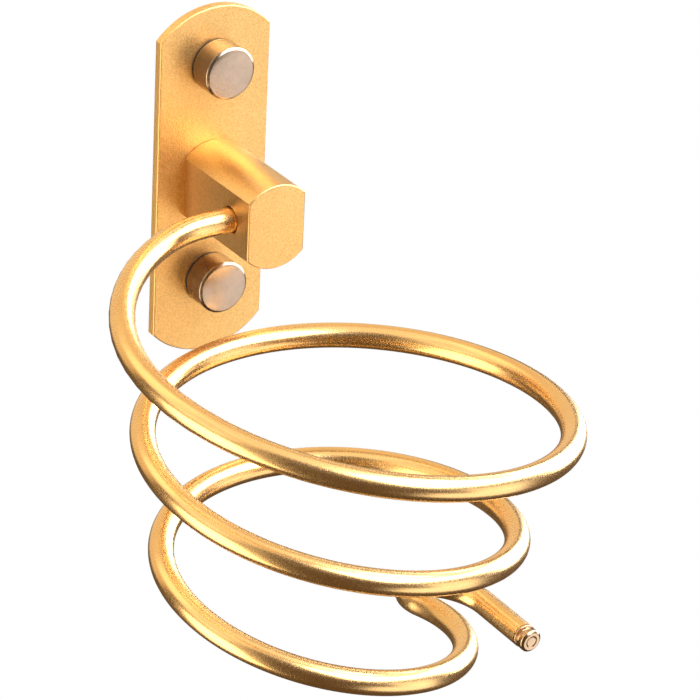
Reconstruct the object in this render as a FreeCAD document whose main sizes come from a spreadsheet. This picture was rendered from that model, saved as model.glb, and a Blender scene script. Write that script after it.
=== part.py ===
"""Wall-mounted spiral hair dryer holder: plate, post, coiled rod, screw caps and fixings.

Frame: the back of the plate lies in the plane y = 0 and the wall is behind it, so the
holder stands out along -Y. +X is to the right seen from the front and +Z is up. The
origin is the middle of the plate's back. All sizes are millimetres.
"""
import FreeCAD, Part
import math
import os
import Sketcher
from FreeCAD import Placement, Rotation, Vector

doc = FreeCAD.newDocument("hair_dryer_holder")
sheet = doc.addObject("Spreadsheet::Sheet", "sheet")

DRIVING_SIZES = [
    # plate
    ("plate_width", 30.0), ("plate_side", 76.0), ("plate_arc_radius", 20.0),
    ("plate_thick", 2.6), ("plate_edge", 0.4), ("wall_hole_dia", 6.5),
    # post
    ("post_dia", 21.4), ("post_flats", 15.4), ("post_length", 29.4), ("post_edge", 0.35),
    ("bore_out", 20.9), ("bore_dia", 6.1), ("bore_mouth_dia", 7.3), ("bore_depth", 13.0),
    ("tapped_dia", 4.0), ("tapped_depth", 9.0), ("post_screw_pitch", 12.0),
    # rod and coil
    ("rod_dia", 6.0), ("rod_inner_end", 5.0), ("rod_straight", 14.4),
    ("coil_x", 6.2), ("coil_y", 79.8), ("coil_z", 2.95),
    ("coil_radius", 57.03), ("coil_taper", 1.519), ("coil_taper_ease", 0.0124),
    ("coil_drop", 4.348), ("coil_drop_gain", 0.017), ("coil_phase", 8.8),
    ("coil_tilt_out", 2.2), ("coil_tilt_side", 5.3),
    ("coil_from", 120.5), ("coil_to", 1008.0),
    ("lead_out_pull", 20.3), ("lead_coil_pull", 44.5),
    ("hook_radius", 10.5), ("hook_heading", 88.0), ("hook_fall", 0.26),
    ("tail_fall", 0.06), ("tail_length", 15.4),
    # turned tip of the rod
    ("tip_length", 3.6), ("spigot_dia", 3.0), ("spigot_length", 4.0), ("spigot_bore", 3.04),
    ("tip_groove_dia", 4.6), ("tip_chamfer", 0.6), ("tip_dish_dia", 3.4), ("tip_dish_depth", 0.5),
    # screw cap, its threaded seat and its rubber washer
    ("cap_up", 30.3), ("cap_down", 25.5), ("cap_dia", 13.2), ("cap_foot_dia", 12.6),
    ("cap_height", 6.9), ("cap_edge", 0.65), ("cap_dome", 0.25), ("cap_bore_dia", 10.1),
    ("cap_bore_depth", 5.3),
    ("seat_dia", 10.0), ("seat_height", 5.0), ("seat_hole_dia", 4.4),
    ("seat_spigot_dia", 6.4), ("seat_spigot", 2.4),
    ("washer_dia", 12.8), ("washer_hole_dia", 10.3), ("washer_thick", 0.4), ("washer_gap", 0.02),
    # fixings
    ("wall_screw_head_dia", 7.6), ("wall_screw_head", 1.95), ("wall_screw_rim", 0.15),
    ("wall_screw_dia", 4.0),
    ("wall_screw_length", 20.0), ("wall_screw_point", 3.5), ("wall_screw_drive", 4.2),
    ("wall_screw_drive_width", 0.9), ("wall_screw_drive_depth", 1.4), ("wall_screw_sunk", 0.3),
    ("wall_plug_dia", 6.0), ("wall_plug_length", 12.5), ("wall_plug_bore", 4.1),
    ("wall_plug_taper", 2.0), ("wall_plug_gap", 0.1),
    ("post_screw_head_dia", 7.4), ("post_screw_head", 1.8), ("post_screw_length", 10.0),
    ("post_screw_dia", 3.96), ("post_screw_key", 2.5), ("post_screw_key_depth", 1.3),
    ("grub_dia", 3.96), ("grub_length", 6.0), ("grub_point", 0.8), ("grub_key", 2.0),
    ("grub_key_depth", 2.2), ("grub_gap", 0.02),
]
for row, (alias, number) in enumerate(DRIVING_SIZES, start=1):
    sheet.set(f"A{row}", alias)
    sheet.set(f"B{row}", str(number))
    sheet.setAlias(f"B{row}", alias)
doc.recompute()


def size(alias):
    """The number that the sheet holds under one alias."""
    return float(sheet.get(alias))


# ---- sketches and bodies -----------------------------------------------------------------

def new_body(label):
    body = doc.addObject("PartDesign::Body", label)
    body.Label = label
    return body


def new_sketch(body, name, plane):
    """A sketch on one of the body's own origin planes, such as XZ_Plane."""
    origin_plane = next(f for f in body.Origin.OriginFeatures if f.Role == plane)
    sketch = body.newObject("Sketcher::SketchObject", name)
    sketch.AttachmentSupport = [(origin_plane, "")]
    sketch.MapMode = "FlatFace"
    return sketch


def bind(sketch, kind, references, formula):
    """A dimension whose value follows the sheet."""
    index = sketch.addConstraint(Sketcher.Constraint(kind, *references, 1.0))
    sketch.setExpression(f"Constraints[{index}]", formula)


def place_point(sketch, geometry, end, across, along):
    """Hold one end of a line at two sheet formulas, measured from the sketch origin."""
    for kind, axis, formula in (("DistanceX", -2, across), ("DistanceY", -1, along)):
        if formula == "0":
            sketch.addConstraint(Sketcher.Constraint("PointOnObject", geometry, end, axis))
        else:
            bind(sketch, kind, (-1, 1, geometry, end), formula)


def outline(sketch, corners):
    """A closed run of straight lines through corners given as (across, along) formulas."""
    count = len(corners)
    ring = [Vector(20 + 9 * math.cos(6.28 * n / count), 20 + 9 * math.sin(6.28 * n / count), 0)
            for n in range(count)]
    for n in range(count):
        sketch.addGeometry(Part.LineSegment(ring[n], ring[(n + 1) % count]), False)
    for n in range(count):
        sketch.addConstraint(Sketcher.Constraint("Coincident", n, 2, (n + 1) % count, 1))
    for n, (across, along) in enumerate(corners):
        place_point(sketch, n, 1, across, along)


def turned_body(label, corners):
    """A solid of revolution about its own Z axis; corners are (radius, height) formulas."""
    body = new_body(label)
    sketch = new_sketch(body, label + "_profile", "XZ_Plane")
    outline(sketch, corners)
    turn = body.newObject("PartDesign::Revolution", label + "_turn")
    turn.Profile = sketch
    turn.ReferenceAxis = (sketch, ["V_Axis"])
    turn.Angle = 360.0
    return body


def circle_pocket(body, name, plane, dia, depth, across=None, along=None, reverse=False):
    """A round pocket; across and along are (formula, sign) pairs or None on the axis."""
    sketch = new_sketch(body, name + "_sketch", plane)
    sides = [1 if item is None else item[1] for item in (across, along)]
    sketch.addGeometry(Part.Circle(Vector(5 * sides[0], 5 * sides[1], 0), Vector(0, 0, 1), 2.0), False)
    bind(sketch, "Diameter", (0,), dia)
    for kind, axis, item in (("DistanceX", -2, across), ("DistanceY", -1, along)):
        if item is None:
            sketch.addConstraint(Sketcher.Constraint("PointOnObject", 0, 3, axis))
        elif item[1] > 0:
            bind(sketch, kind, (-1, 1, 0, 3), item[0])
        else:
            bind(sketch, kind, (0, 3, -1, 1), item[0])
    pocket = body.newObject("PartDesign::Pocket", name)
    pocket.Profile = sketch
    pocket.setExpression("Length", depth)
    pocket.Reversed = reverse
    return pocket


def chamfer_edges(body, name, width, wanted):
    """Chamfer the edges of the body's tip for which wanted(edge) is true."""
    doc.recompute()
    tip = body.Tip
    edges = [f"Edge{n}" for n, edge in enumerate(tip.Shape.Edges, start=1) if wanted(edge)]
    chamfer = body.newObject("PartDesign::Chamfer", name)
    chamfer.Base = (tip, edges)
    chamfer.setExpression("Size", width)
    return chamfer


def lies_at(edge, axis, level):
    """True where the whole edge lies at one level of one axis (0 is X, 1 is Y, 2 is Z)."""
    box = edge.BoundBox
    low = (box.XMin, box.YMin, box.ZMin)[axis]
    high = (box.XMax, box.YMax, box.ZMax)[axis]
    return abs(low - level) < 1e-4 and abs(high - level) < 1e-4


def stand_out(body, out, up="0"):
    """Point the body's Z axis away from the wall and put its foot at the given place."""
    body.Placement = Placement(Vector(), Rotation(Vector(1, 0, 0), 90))
    body.setExpression("Placement.Base.y", f"-({out})")
    body.setExpression("Placement.Base.z", up)
    return body


# ---- wall plate --------------------------------------------------------------------------

def wall_plate():
    """Flat plate with straight sides and two arcs, its front edge chamfered all round."""
    body = new_body("wall_plate")
    sketch = new_sketch(body, "plate_outline", "XZ_Plane")
    half = size("plate_width") / 2
    side = size("plate_side") / 2
    radius = size("plate_arc_radius")
    centre = side - math.sqrt(radius ** 2 - half ** 2)
    spread = math.asin(half / radius)
    upward = math.pi / 2
    circle_up = Part.Circle(Vector(0, centre, 0), Vector(0, 0, 1), radius)
    circle_down = Part.Circle(Vector(0, -centre, 0), Vector(0, 0, 1), radius)
    sketch.addGeometry(Part.LineSegment(Vector(half, -side, 0), Vector(half, side, 0)), False)
    sketch.addGeometry(Part.ArcOfCircle(circle_up, upward - spread, upward + spread), False)
    sketch.addGeometry(Part.LineSegment(Vector(-half, side, 0), Vector(-half, -side, 0)), False)
    sketch.addGeometry(Part.ArcOfCircle(circle_down, -upward - spread, -upward + spread), False)
    for line, end, arc, start in ((0, 2, 1, 1), (1, 2, 2, 1), (2, 2, 3, 1), (3, 2, 0, 1)):
        sketch.addConstraint(Sketcher.Constraint("Coincident", line, end, arc, start))
    for line in (0, 2):
        sketch.addConstraint(Sketcher.Constraint("Symmetric", line, 1, line, 2, -1))
    bind(sketch, "DistanceX", (2, 1, 0, 2), "sheet.plate_width")
    sketch.addConstraint(Sketcher.Constraint("Symmetric", 0, 1, 2, 2, -2))
    bind(sketch, "DistanceY", (0, 1, 0, 2), "sheet.plate_side")
    for arc in (1, 3):
        bind(sketch, "Radius", (arc,), "sheet.plate_arc_radius")
    pad = body.newObject("PartDesign::Pad", "plate_pad")
    pad.Profile = sketch
    pad.setExpression("Length", "sheet.plate_thick")
    chamfer_edges(body, "plate_front_edge", "sheet.plate_edge",
                  lambda edge: lies_at(edge, 1, -size("plate_thick")))
    through = "sheet.plate_thick + 2"
    for name, formula, sign in (("wall_hole_upper", "sheet.cap_up", 1),
                                ("wall_hole_lower", "sheet.cap_down", -1)):
        circle_pocket(body, name, "XZ_Plane", "sheet.wall_hole_dia", through,
                      along=(formula, sign), reverse=True)
    for name, sign in (("post_hole_upper", 1), ("post_hole_lower", -1)):
        place = ("sheet.post_screw_pitch / 2", sign)
        circle_pocket(body, name, "XZ_Plane", "sheet.tapped_dia + 0.3", through,
                      along=place, reverse=True)
        countersink(body, name + "_sink", place)
    return body


def countersink(body, name, place):
    """Cone for a flat screw head, cut into the back of the plate."""
    sketch = new_sketch(body, name + "_sketch", "YZ_Plane")
    formula, sign = place
    level = sign * 6.0
    corners = [Vector(0, level, 0), Vector(0, level + 4, 0), Vector(-2, level + 2, 0), Vector(-2, level, 0)]
    for n in range(4):
        sketch.addGeometry(Part.LineSegment(corners[n], corners[(n + 1) % 4]), False)
    for n in range(4):
        sketch.addConstraint(Sketcher.Constraint("Coincident", n, 2, (n + 1) % 4, 1))
    sketch.addConstraint(Sketcher.Constraint("PointOnObject", 0, 1, -2))
    sketch.addConstraint(Sketcher.Constraint("PointOnObject", 1, 1, -2))
    sketch.addConstraint(Sketcher.Constraint("Horizontal", 3))
    sketch.addConstraint(Sketcher.Constraint("Vertical", 2))
    order = (-1, 1, 0, 1) if sign > 0 else (0, 1, -1, 1)
    bind(sketch, "DistanceY", order, formula)
    bind(sketch, "DistanceY", (0, 1, 1, 1), "sheet.post_screw_head_dia / 2 + 0.1")
    bind(sketch, "DistanceY", (3, 1, 2, 1), "sheet.tapped_dia / 2 + 0.15")
    bind(sketch, "DistanceX", (3, 1, 0, 1), "sheet.post_screw_head")
    groove = body.newObject("PartDesign::Groove", name)
    groove.Profile = sketch
    groove.ReferenceAxis = (sketch, ["Edge4"])
    groove.Angle = 360.0
    return groove


# ---- post --------------------------------------------------------------------------------

def support_post():
    """Round bar with two flats; the rod enters a bore in its left flat."""
    body = new_body("support_post")
    sketch = new_sketch(body, "post_outline", "XZ_Plane")
    radius = size("post_dia") / 2
    flat = size("post_flats") / 2
    rise = math.sqrt(radius ** 2 - flat ** 2)
    corner = math.atan2(rise, flat)
    circle = Part.Circle(Vector(0, 0, 0), Vector(0, 0, 1), radius)
    sketch.addGeometry(Part.LineSegment(Vector(flat, -rise, 0), Vector(flat, rise, 0)), False)
    sketch.addGeometry(Part.ArcOfCircle(circle, corner, math.pi - corner), False)
    sketch.addGeometry(Part.LineSegment(Vector(-flat, rise, 0), Vector(-flat, -rise, 0)), False)
    sketch.addGeometry(Part.ArcOfCircle(circle, math.pi + corner, 2 * math.pi - corner), False)
    for first, end, second, start in ((0, 2, 1, 1), (1, 2, 2, 1), (2, 2, 3, 1), (3, 2, 0, 1)):
        sketch.addConstraint(Sketcher.Constraint("Coincident", first, end, second, start))
    for arc in (1, 3):
        sketch.addConstraint(Sketcher.Constraint("Coincident", arc, 3, -1, 1))
        bind(sketch, "Radius", (arc,), "sheet.post_dia / 2")
    for line in (0, 2):
        sketch.addConstraint(Sketcher.Constraint("Vertical", line))
    bind(sketch, "DistanceX", (-1, 1, 0, 1), "sheet.post_flats / 2")
    bind(sketch, "DistanceX", (2, 1, -1, 1), "sheet.post_flats / 2")
    pad = body.newObject("PartDesign::Pad", "post_pad")
    pad.Profile = sketch
    pad.setExpression("Length", "sheet.post_length")
    chamfer_edges(body, "post_front_edge", "sheet.post_edge",
                  lambda edge: lies_at(edge, 1, -size("post_length")))
    bore_for_rod(body)
    for name, sign in (("tapped_upper", 1), ("tapped_lower", -1)):
        circle_pocket(body, name, "XZ_Plane", "sheet.tapped_dia", "sheet.tapped_depth",
                      along=("sheet.post_screw_pitch / 2", sign), reverse=True)
    circle_pocket(body, "grub_hole", "XY_Plane", "sheet.tapped_dia", "sheet.post_dia",
                  along=("sheet.bore_out", -1), reverse=False)
    body.setExpression("Placement.Base.y", "-sheet.plate_thick")
    return body


def bore_for_rod(body):
    """Blind bore along X from the left flat, with a chamfered mouth."""
    sketch = new_sketch(body, "bore_profile", "XY_Plane")
    flat = size("post_flats") / 2
    out = size("bore_out")
    wide = size("bore_mouth_dia") / 2
    narrow = size("bore_dia") / 2
    mouth = wide - narrow
    inner = size("bore_depth") - flat
    corners = [Vector(-flat, -out, 0), Vector(-flat, -out - wide, 0),
               Vector(-flat + mouth, -out - narrow, 0), Vector(inner, -out - narrow, 0),
               Vector(inner, -out, 0)]
    count = len(corners)
    for n in range(count):
        sketch.addGeometry(Part.LineSegment(corners[n], corners[(n + 1) % count]), False)
    for n in range(count):
        sketch.addConstraint(Sketcher.Constraint("Coincident", n, 2, (n + 1) % count, 1))
    for line in (0, 3):
        sketch.addConstraint(Sketcher.Constraint("Vertical", line))
    for line in (2, 4):
        sketch.addConstraint(Sketcher.Constraint("Horizontal", line))
    bind(sketch, "DistanceX", (0, 1, -1, 1), "sheet.post_flats / 2")
    bind(sketch, "DistanceY", (0, 1, -1, 1), "sheet.bore_out")
    bind(sketch, "DistanceY", (1, 1, 0, 1), "sheet.bore_mouth_dia / 2")
    bind(sketch, "DistanceY", (3, 1, 4, 1), "sheet.bore_dia / 2")
    bind(sketch, "DistanceX", (1, 1, 2, 1), "(sheet.bore_mouth_dia - sheet.bore_dia) / 2")
    bind(sketch, "DistanceX", (0, 1, 4, 1), "sheet.bore_depth")
    groove = body.newObject("PartDesign::Groove", "rod_bore")
    groove.Profile = sketch
    groove.ReferenceAxis = (sketch, ["Edge5"])
    groove.Angle = 360.0
    return groove


# ---- spiral rod --------------------------------------------------------------------------

def coil_station(degrees):
    """Point and unit tangent of the coil's centreline; the angle starts at the back."""
    angle = math.radians(degrees)
    turned = angle - math.radians(size("coil_phase"))
    radius = size("coil_radius") - size("coil_taper") * angle + size("coil_taper_ease") * angle ** 2
    growth = 2 * size("coil_taper_ease") * angle - size("coil_taper")
    drop = -size("coil_drop") * angle - size("coil_drop_gain") * angle ** 2
    fall = -size("coil_drop") - 2 * size("coil_drop_gain") * angle
    sine, cosine = math.sin(turned), math.cos(turned)
    local = Vector(-radius * sine, radius * cosine, drop)
    speed = Vector(-growth * sine - radius * cosine, growth * cosine - radius * sine, fall)
    tilt = Rotation(Vector(1, 0, 0), size("coil_tilt_out")).multiply(
        Rotation(Vector(0, 1, 0), size("coil_tilt_side")))
    middle = Vector(-size("coil_x"), -size("coil_y"), -size("coil_z"))
    return middle + tilt.multVec(local), tilt.multVec(speed).normalize()


def lead_stations():
    """The bend from the straight end in the post to the coil, as stations on a cubic curve."""
    start = Vector(-size("rod_straight"), -size("plate_thick") - size("bore_out"), 0)
    end, heading = coil_station(size("coil_from"))
    pull_out = start - Vector(size("lead_out_pull"), 0, 0)
    pull_in = end - heading * size("lead_coil_pull")
    stations = []
    for step in range(4):
        part = step / 4
        rest = 1 - part
        point = (start * rest ** 3 + pull_out * (3 * rest ** 2 * part)
                 + pull_in * (3 * rest * part ** 2) + end * part ** 3)
        speed = ((pull_out - start) * rest ** 2 + (pull_in - pull_out) * (2 * rest * part)
                 + (end - pull_in) * part ** 2)
        stations.append((point, speed.normalize()))
    return stations


def hook_stations():
    """The reverse bend after the last turn: level radius, falling, until it points out."""
    start, heading = coil_station(size("coil_to"))
    turn_from = math.atan2(heading.y, heading.x)
    turn_to = -math.radians(size("hook_heading"))
    first_slope = heading.z / math.hypot(heading.x, heading.y)
    radius = size("hook_radius")
    length = radius * (turn_from - turn_to)
    centre = start + Vector(math.sin(turn_from), -math.cos(turn_from), 0) * radius
    stations = []
    for step in range(1, 7):
        part = step / 6
        course = turn_from + (turn_to - turn_from) * part
        slope = (first_slope * (1 - part) * (1 - 2 * part) - 4 * size("hook_fall") * part * (1 - part)
                 - size("tail_fall") * part * (2 * part - 1))
        sunk = (first_slope * (part - 1.5 * part ** 2 + 2 * part ** 3 / 3)
                - size("hook_fall") * (2 * part ** 2 - 4 * part ** 3 / 3)
                - size("tail_fall") * (2 * part ** 3 / 3 - part ** 2 / 2))
        point = centre + Vector(-math.sin(course), math.cos(course), 0) * radius
        point.z = start.z + sunk * length
        stations.append((point, Vector(math.cos(course), math.sin(course), slope).normalize()))
    return stations


def rod_stations():
    """All stations of the bent part of the rod, from the post to the straight tail."""
    first, last = size("coil_from"), size("coil_to")
    steps = 20
    coil = [coil_station(first + (last - first) * n / steps) for n in range(steps + 1)]
    return lead_stations() + coil + hook_stations()


def tangent_arc(start, corner, end):
    """The arc from start to end whose end tangents meet at the corner."""
    middle = (start + end) * 0.5
    half = (end - start).Length / 2
    half_turn = math.acos(min(1.0, half / (corner - start).Length))
    bulge = (corner - middle).normalize() * (half * math.tan(half_turn / 2))
    return Part.Arc(start, middle + bulge, end).toShape()


def two_arcs(here, there):
    """Two arcs, tangent to each other, that join two stations along their tangents."""
    (start, out), (end, into) = here, there
    gap = end - start
    reach = gap.dot(out + into)
    spread = 2 * (1 - out.dot(into))
    pull = (math.sqrt(reach ** 2 + spread * gap.dot(gap)) - reach) / spread
    first_corner = start + out * pull
    last_corner = end - into * pull
    joint = (first_corner + last_corner) * 0.5
    return [tangent_arc(start, first_corner, joint), tangent_arc(joint, last_corner, end)]


def rod_tip():
    """The place where the straight tail ends, and its direction."""
    point, direction = hook_stations()[-1]
    return point + direction * size("tail_length"), direction


def spiral_rod():
    """One round rod bent along tangent arcs: straight end, three turns, hook and tail."""
    stations = rod_stations()
    inner = Vector(size("rod_inner_end"), stations[0][0].y, 0)
    edges = [Part.LineSegment(inner, stations[0][0]).toShape()]
    for here, there in zip(stations, stations[1:]):
        edges += two_arcs(here, there)
    tip, direction = rod_tip()
    edges.append(Part.LineSegment(stations[-1][0], tip).toShape())
    path = doc.addObject("Part::Feature", "rod_path")
    path.Shape = Part.Wire(edges)
    section = doc.addObject("Part::Circle", "rod_section")
    section.setExpression("Radius", "sheet.rod_dia / 2")
    section.Placement = Placement(inner, Rotation(Vector(0, 0, 1), Vector(-1, 0, 0)))
    sweep = doc.addObject("Part::Sweep", "rod_sweep")
    sweep.Sections = [section]
    sweep.Spine = (path, [])
    sweep.Solid = True
    sweep.Frenet = False
    socket = doc.addObject("Part::Cylinder", "tip_socket")
    socket.setExpression("Radius", "sheet.spigot_bore / 2")
    socket.setExpression("Height", "sheet.spigot_length + 1.2")
    foot = tip - direction * (size("spigot_length") + 0.2)
    socket.Placement = Placement(foot, Rotation(Vector(0, 0, 1), direction))
    rod = doc.addObject("Part::Cut", "spiral_rod")
    rod.Base = sweep
    rod.Tool = socket
    rod.Label = "spiral_rod"
    doc.recompute()
    section_area = math.pi * size("rod_dia") ** 2 / 4
    print("rod length", round(path.Shape.Length, 1), "volume ratio",
          round(sweep.Shape.Volume / (section_area * path.Shape.Length), 5))
    return rod


def rod_end_tip():
    """Turned bright tip: spigot, collar, groove and a chamfered, dished end."""
    body = turned_body("rod_end_tip", [
        ("0", "0"),
        ("sheet.spigot_dia / 2", "0"),
        ("sheet.spigot_dia / 2", "sheet.spigot_length"),
        ("sheet.rod_dia / 2", "sheet.spigot_length"),
        ("sheet.rod_dia / 2", "sheet.spigot_length + 0.8"),
        ("sheet.tip_groove_dia / 2", "sheet.spigot_length + 1.1"),
        ("sheet.tip_groove_dia / 2", "sheet.spigot_length + 1.5"),
        ("sheet.rod_dia / 2", "sheet.spigot_length + 1.9"),
        ("sheet.rod_dia / 2", "sheet.spigot_length + sheet.tip_length - sheet.tip_chamfer"),
        ("sheet.rod_dia / 2 - sheet.tip_chamfer", "sheet.spigot_length + sheet.tip_length"),
        ("sheet.tip_dish_dia / 2", "sheet.spigot_length + sheet.tip_length"),
        ("0", "sheet.spigot_length + sheet.tip_length - sheet.tip_dish_depth"),
    ])
    tip, direction = rod_tip()
    foot = tip - direction * size("spigot_length")
    body.Placement = Placement(foot, Rotation(Vector(0, 0, 1), direction))
    return body


# ---- screw caps --------------------------------------------------------------------------

def screw_cap(end, up):
    """Cup with an inside thread bore, a chamfered rim and a slightly domed face."""
    body = turned_body("screw_cap_" + end, [
        ("sheet.cap_bore_dia / 2", "0"),
        ("sheet.cap_foot_dia / 2", "0"),
        ("sheet.cap_dia / 2", "0.5"),
        ("sheet.cap_dia / 2", "sheet.cap_height - sheet.cap_edge"),
        ("sheet.cap_dia / 2 - sheet.cap_edge", "sheet.cap_height"),
        ("sheet.cap_dia / 4", "sheet.cap_height + 0.7 * sheet.cap_dome"),
        ("0", "sheet.cap_height + sheet.cap_dome"),
        ("0", "sheet.cap_bore_depth"),
        ("sheet.cap_bore_dia / 2", "sheet.cap_bore_depth"),
    ])
    return stand_out(body, "sheet.plate_thick + sheet.washer_thick + 2 * sheet.washer_gap", up)


def cap_washer(end, up):
    """Thin rubber ring between the cap's foot and the plate."""
    body = turned_body("cap_washer_" + end, [
        ("sheet.washer_hole_dia / 2", "0"),
        ("sheet.washer_dia / 2", "0"),
        ("sheet.washer_dia / 2", "sheet.washer_thick"),
        ("sheet.washer_hole_dia / 2", "sheet.washer_thick"),
    ])
    return stand_out(body, "sheet.plate_thick + sheet.washer_gap", up)


def cap_seat(end, up):
    """Threaded boss with a spigot in the plate; the wall screw clamps it and the cap screws on."""
    wide = "sheet.wall_screw_head_dia / 2 + 0.1"
    top = "sheet.seat_spigot + sheet.seat_height"
    rim = f"{top} - sheet.wall_screw_sunk - sheet.wall_screw_rim"
    body = turned_body("cap_seat_" + end, [
        ("sheet.seat_hole_dia / 2", "0"),
        ("sheet.seat_spigot_dia / 2", "0"),
        ("sheet.seat_spigot_dia / 2", "sheet.seat_spigot"),
        ("sheet.seat_dia / 2", "sheet.seat_spigot"),
        ("sheet.seat_dia / 2", top + " - 0.5"),
        ("sheet.seat_dia / 2 - 0.5", top),
        (wide, top),
        (wide, rim),
        ("sheet.seat_hole_dia / 2", f"{rim} - ({wide} - sheet.seat_hole_dia / 2)"),
    ])
    return stand_out(body, "sheet.plate_thick - sheet.seat_spigot", up)


# ---- fixings -----------------------------------------------------------------------------

def regular_pocket(body, name, across_flats, depth):
    """Hexagon key socket in the flat top of a turned screw that stands on its XY plane."""
    sketch = new_sketch(body, name + "_sketch", "XY_Plane")
    corner = 1.0
    for n in range(6):
        here, there = math.radians(60 * n), math.radians(60 * (n + 1))
        sketch.addGeometry(Part.LineSegment(Vector(corner * math.cos(here), corner * math.sin(here), 0),
                                            Vector(corner * math.cos(there), corner * math.sin(there), 0)),
                           False)
    circle = sketch.addGeometry(Part.Circle(Vector(0, 0, 0), Vector(0, 0, 1), corner), True)
    sketch.addConstraint(Sketcher.Constraint("Coincident", circle, 3, -1, 1))
    for n in range(6):
        sketch.addConstraint(Sketcher.Constraint("Coincident", n, 2, (n + 1) % 6, 1))
        sketch.addConstraint(Sketcher.Constraint("PointOnObject", n, 1, circle))
    for n in range(5):
        sketch.addConstraint(Sketcher.Constraint("Equal", n, n + 1))
    sketch.addConstraint(Sketcher.Constraint("PointOnObject", 0, 1, -1))
    bind(sketch, "Radius", (circle,), across_flats + " / sqrt(3)")
    pocket = body.newObject("PartDesign::Pocket", name)
    pocket.Profile = sketch
    pocket.Reversed = True
    pocket.setExpression("Length", depth)
    return pocket


def post_screw(end, sign):
    """Flat-head machine screw from the back of the plate into the post."""
    shank = "sheet.post_screw_dia / 2"
    body = turned_body("post_screw_" + end, [
        ("0", "0"),
        ("sheet.post_screw_head_dia / 2", "0"),
        (shank, "sheet.post_screw_head - 0.1"),
        (shank, "sheet.post_screw_length - 0.6"),
        (shank + " - 0.6", "sheet.post_screw_length"),
        ("0", "sheet.post_screw_length"),
    ])
    regular_pocket(body, "post_screw_key_" + end, "sheet.post_screw_key", "sheet.post_screw_key_depth")
    return stand_out(body, "0.05", f"{sign} * sheet.post_screw_pitch / 2")


def rod_set_screw():
    """Grub screw that clamps the rod from below, its key socket facing down."""
    thread = "sheet.grub_dia / 2"
    body = turned_body("rod_set_screw", [
        ("0", "0"),
        (thread, "0"),
        (thread, "sheet.grub_length - sheet.grub_point"),
        (thread + " - sheet.grub_point", "sheet.grub_length"),
        ("0", "sheet.grub_length"),
    ])
    regular_pocket(body, "grub_key_socket", "sheet.grub_key", "sheet.grub_key_depth")
    body.setExpression("Placement.Base.y", "-sheet.plate_thick - sheet.bore_out")
    body.setExpression("Placement.Base.z", "-sheet.rod_dia / 2 - sheet.grub_gap - sheet.grub_length")
    return body


def wall_screw(end, up):
    """Countersunk wood screw through the seat and the plate, its point in the wall."""
    shank = "sheet.wall_screw_dia / 2"
    body = turned_body("wall_screw_" + end, [
        ("0", "0"),
        (shank, "sheet.wall_screw_point"),
        (shank, "sheet.wall_screw_length - sheet.wall_screw_head"),
        ("sheet.wall_screw_head_dia / 2", "sheet.wall_screw_length - sheet.wall_screw_rim"),
        ("sheet.wall_screw_head_dia / 2", "sheet.wall_screw_length"),
        ("0", "sheet.wall_screw_length"),
    ])
    doc.recompute()
    for name, wide, tall in (("slot_a_", "sheet.wall_screw_drive", "sheet.wall_screw_drive_width"),
                             ("slot_b_", "sheet.wall_screw_drive_width", "sheet.wall_screw_drive")):
        drive_slot(body, name + end, wide, tall)
    head_top = "sheet.plate_thick + sheet.seat_height - sheet.wall_screw_sunk"
    return stand_out(body, head_top + " - sheet.wall_screw_length", up)


def drive_slot(body, name, wide, tall):
    """One of the two crossed slots in the head of a wall screw."""
    sketch = new_sketch(body, name + "_sketch", "XY_Plane")
    sketch.AttachmentOffset = Placement(Vector(0, 0, size("wall_screw_length")), Rotation())
    sketch.setExpression("AttachmentOffset.Base.z", "sheet.wall_screw_length")
    corners = [Vector(-1, -1, 0), Vector(1, -1, 0), Vector(1, 1, 0), Vector(-1, 1, 0)]
    for n in range(4):
        sketch.addGeometry(Part.LineSegment(corners[n], corners[(n + 1) % 4]), False)
    for n in range(4):
        sketch.addConstraint(Sketcher.Constraint("Coincident", n, 2, (n + 1) % 4, 1))
    for line, kind in ((0, "Horizontal"), (2, "Horizontal"), (1, "Vertical"), (3, "Vertical")):
        sketch.addConstraint(Sketcher.Constraint(kind, line))
    sketch.addConstraint(Sketcher.Constraint("Symmetric", 0, 1, 2, 1, -1, 1))
    bind(sketch, "DistanceX", (0, 1, 0, 2), wide)
    bind(sketch, "DistanceY", (1, 1, 1, 2), tall)
    pocket = body.newObject("PartDesign::Pocket", name)
    pocket.Profile = sketch
    pocket.setExpression("Length", "sheet.wall_screw_drive_depth")
    return pocket


def wall_plug(end, up):
    """Nylon plug for a hole drilled in the wall, its open end just behind the plate."""
    body = turned_body("wall_plug_" + end, [
        ("sheet.wall_plug_bore / 2", "0"),
        ("sheet.wall_plug_dia / 2 - 0.6", "0"),
        ("sheet.wall_plug_dia / 2", "sheet.wall_plug_taper"),
        ("sheet.wall_plug_dia / 2", "sheet.wall_plug_length"),
        ("sheet.wall_plug_bore / 2", "sheet.wall_plug_length"),
    ])
    return stand_out(body, "-sheet.wall_plug_length - sheet.wall_plug_gap", up)


# ---- assembly ----------------------------------------------------------------------------

nodes = [wall_plate(), support_post(), spiral_rod(), rod_end_tip(), rod_set_screw()]
for end, sign in (("upper", 1), ("lower", -1)):
    up = "sheet.cap_up" if sign > 0 else "-sheet.cap_down"
    nodes += [post_screw(end, sign), wall_screw(end, up), wall_plug(end, up), cap_seat(end, up),
              cap_washer(end, up), screw_cap(end, up)]
doc.recompute()

broken = [item.Name for item in doc.Objects if {"Invalid", "Error"} & set(item.State)]
if broken:
    raise RuntimeError("objects that failed: " + ", ".join(broken))
for node in nodes:
    if node.Shape.isNull() or not node.Shape.isValid() or len(node.Shape.Solids) != 1:
        raise RuntimeError("no single valid solid in " + node.Label)

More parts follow.
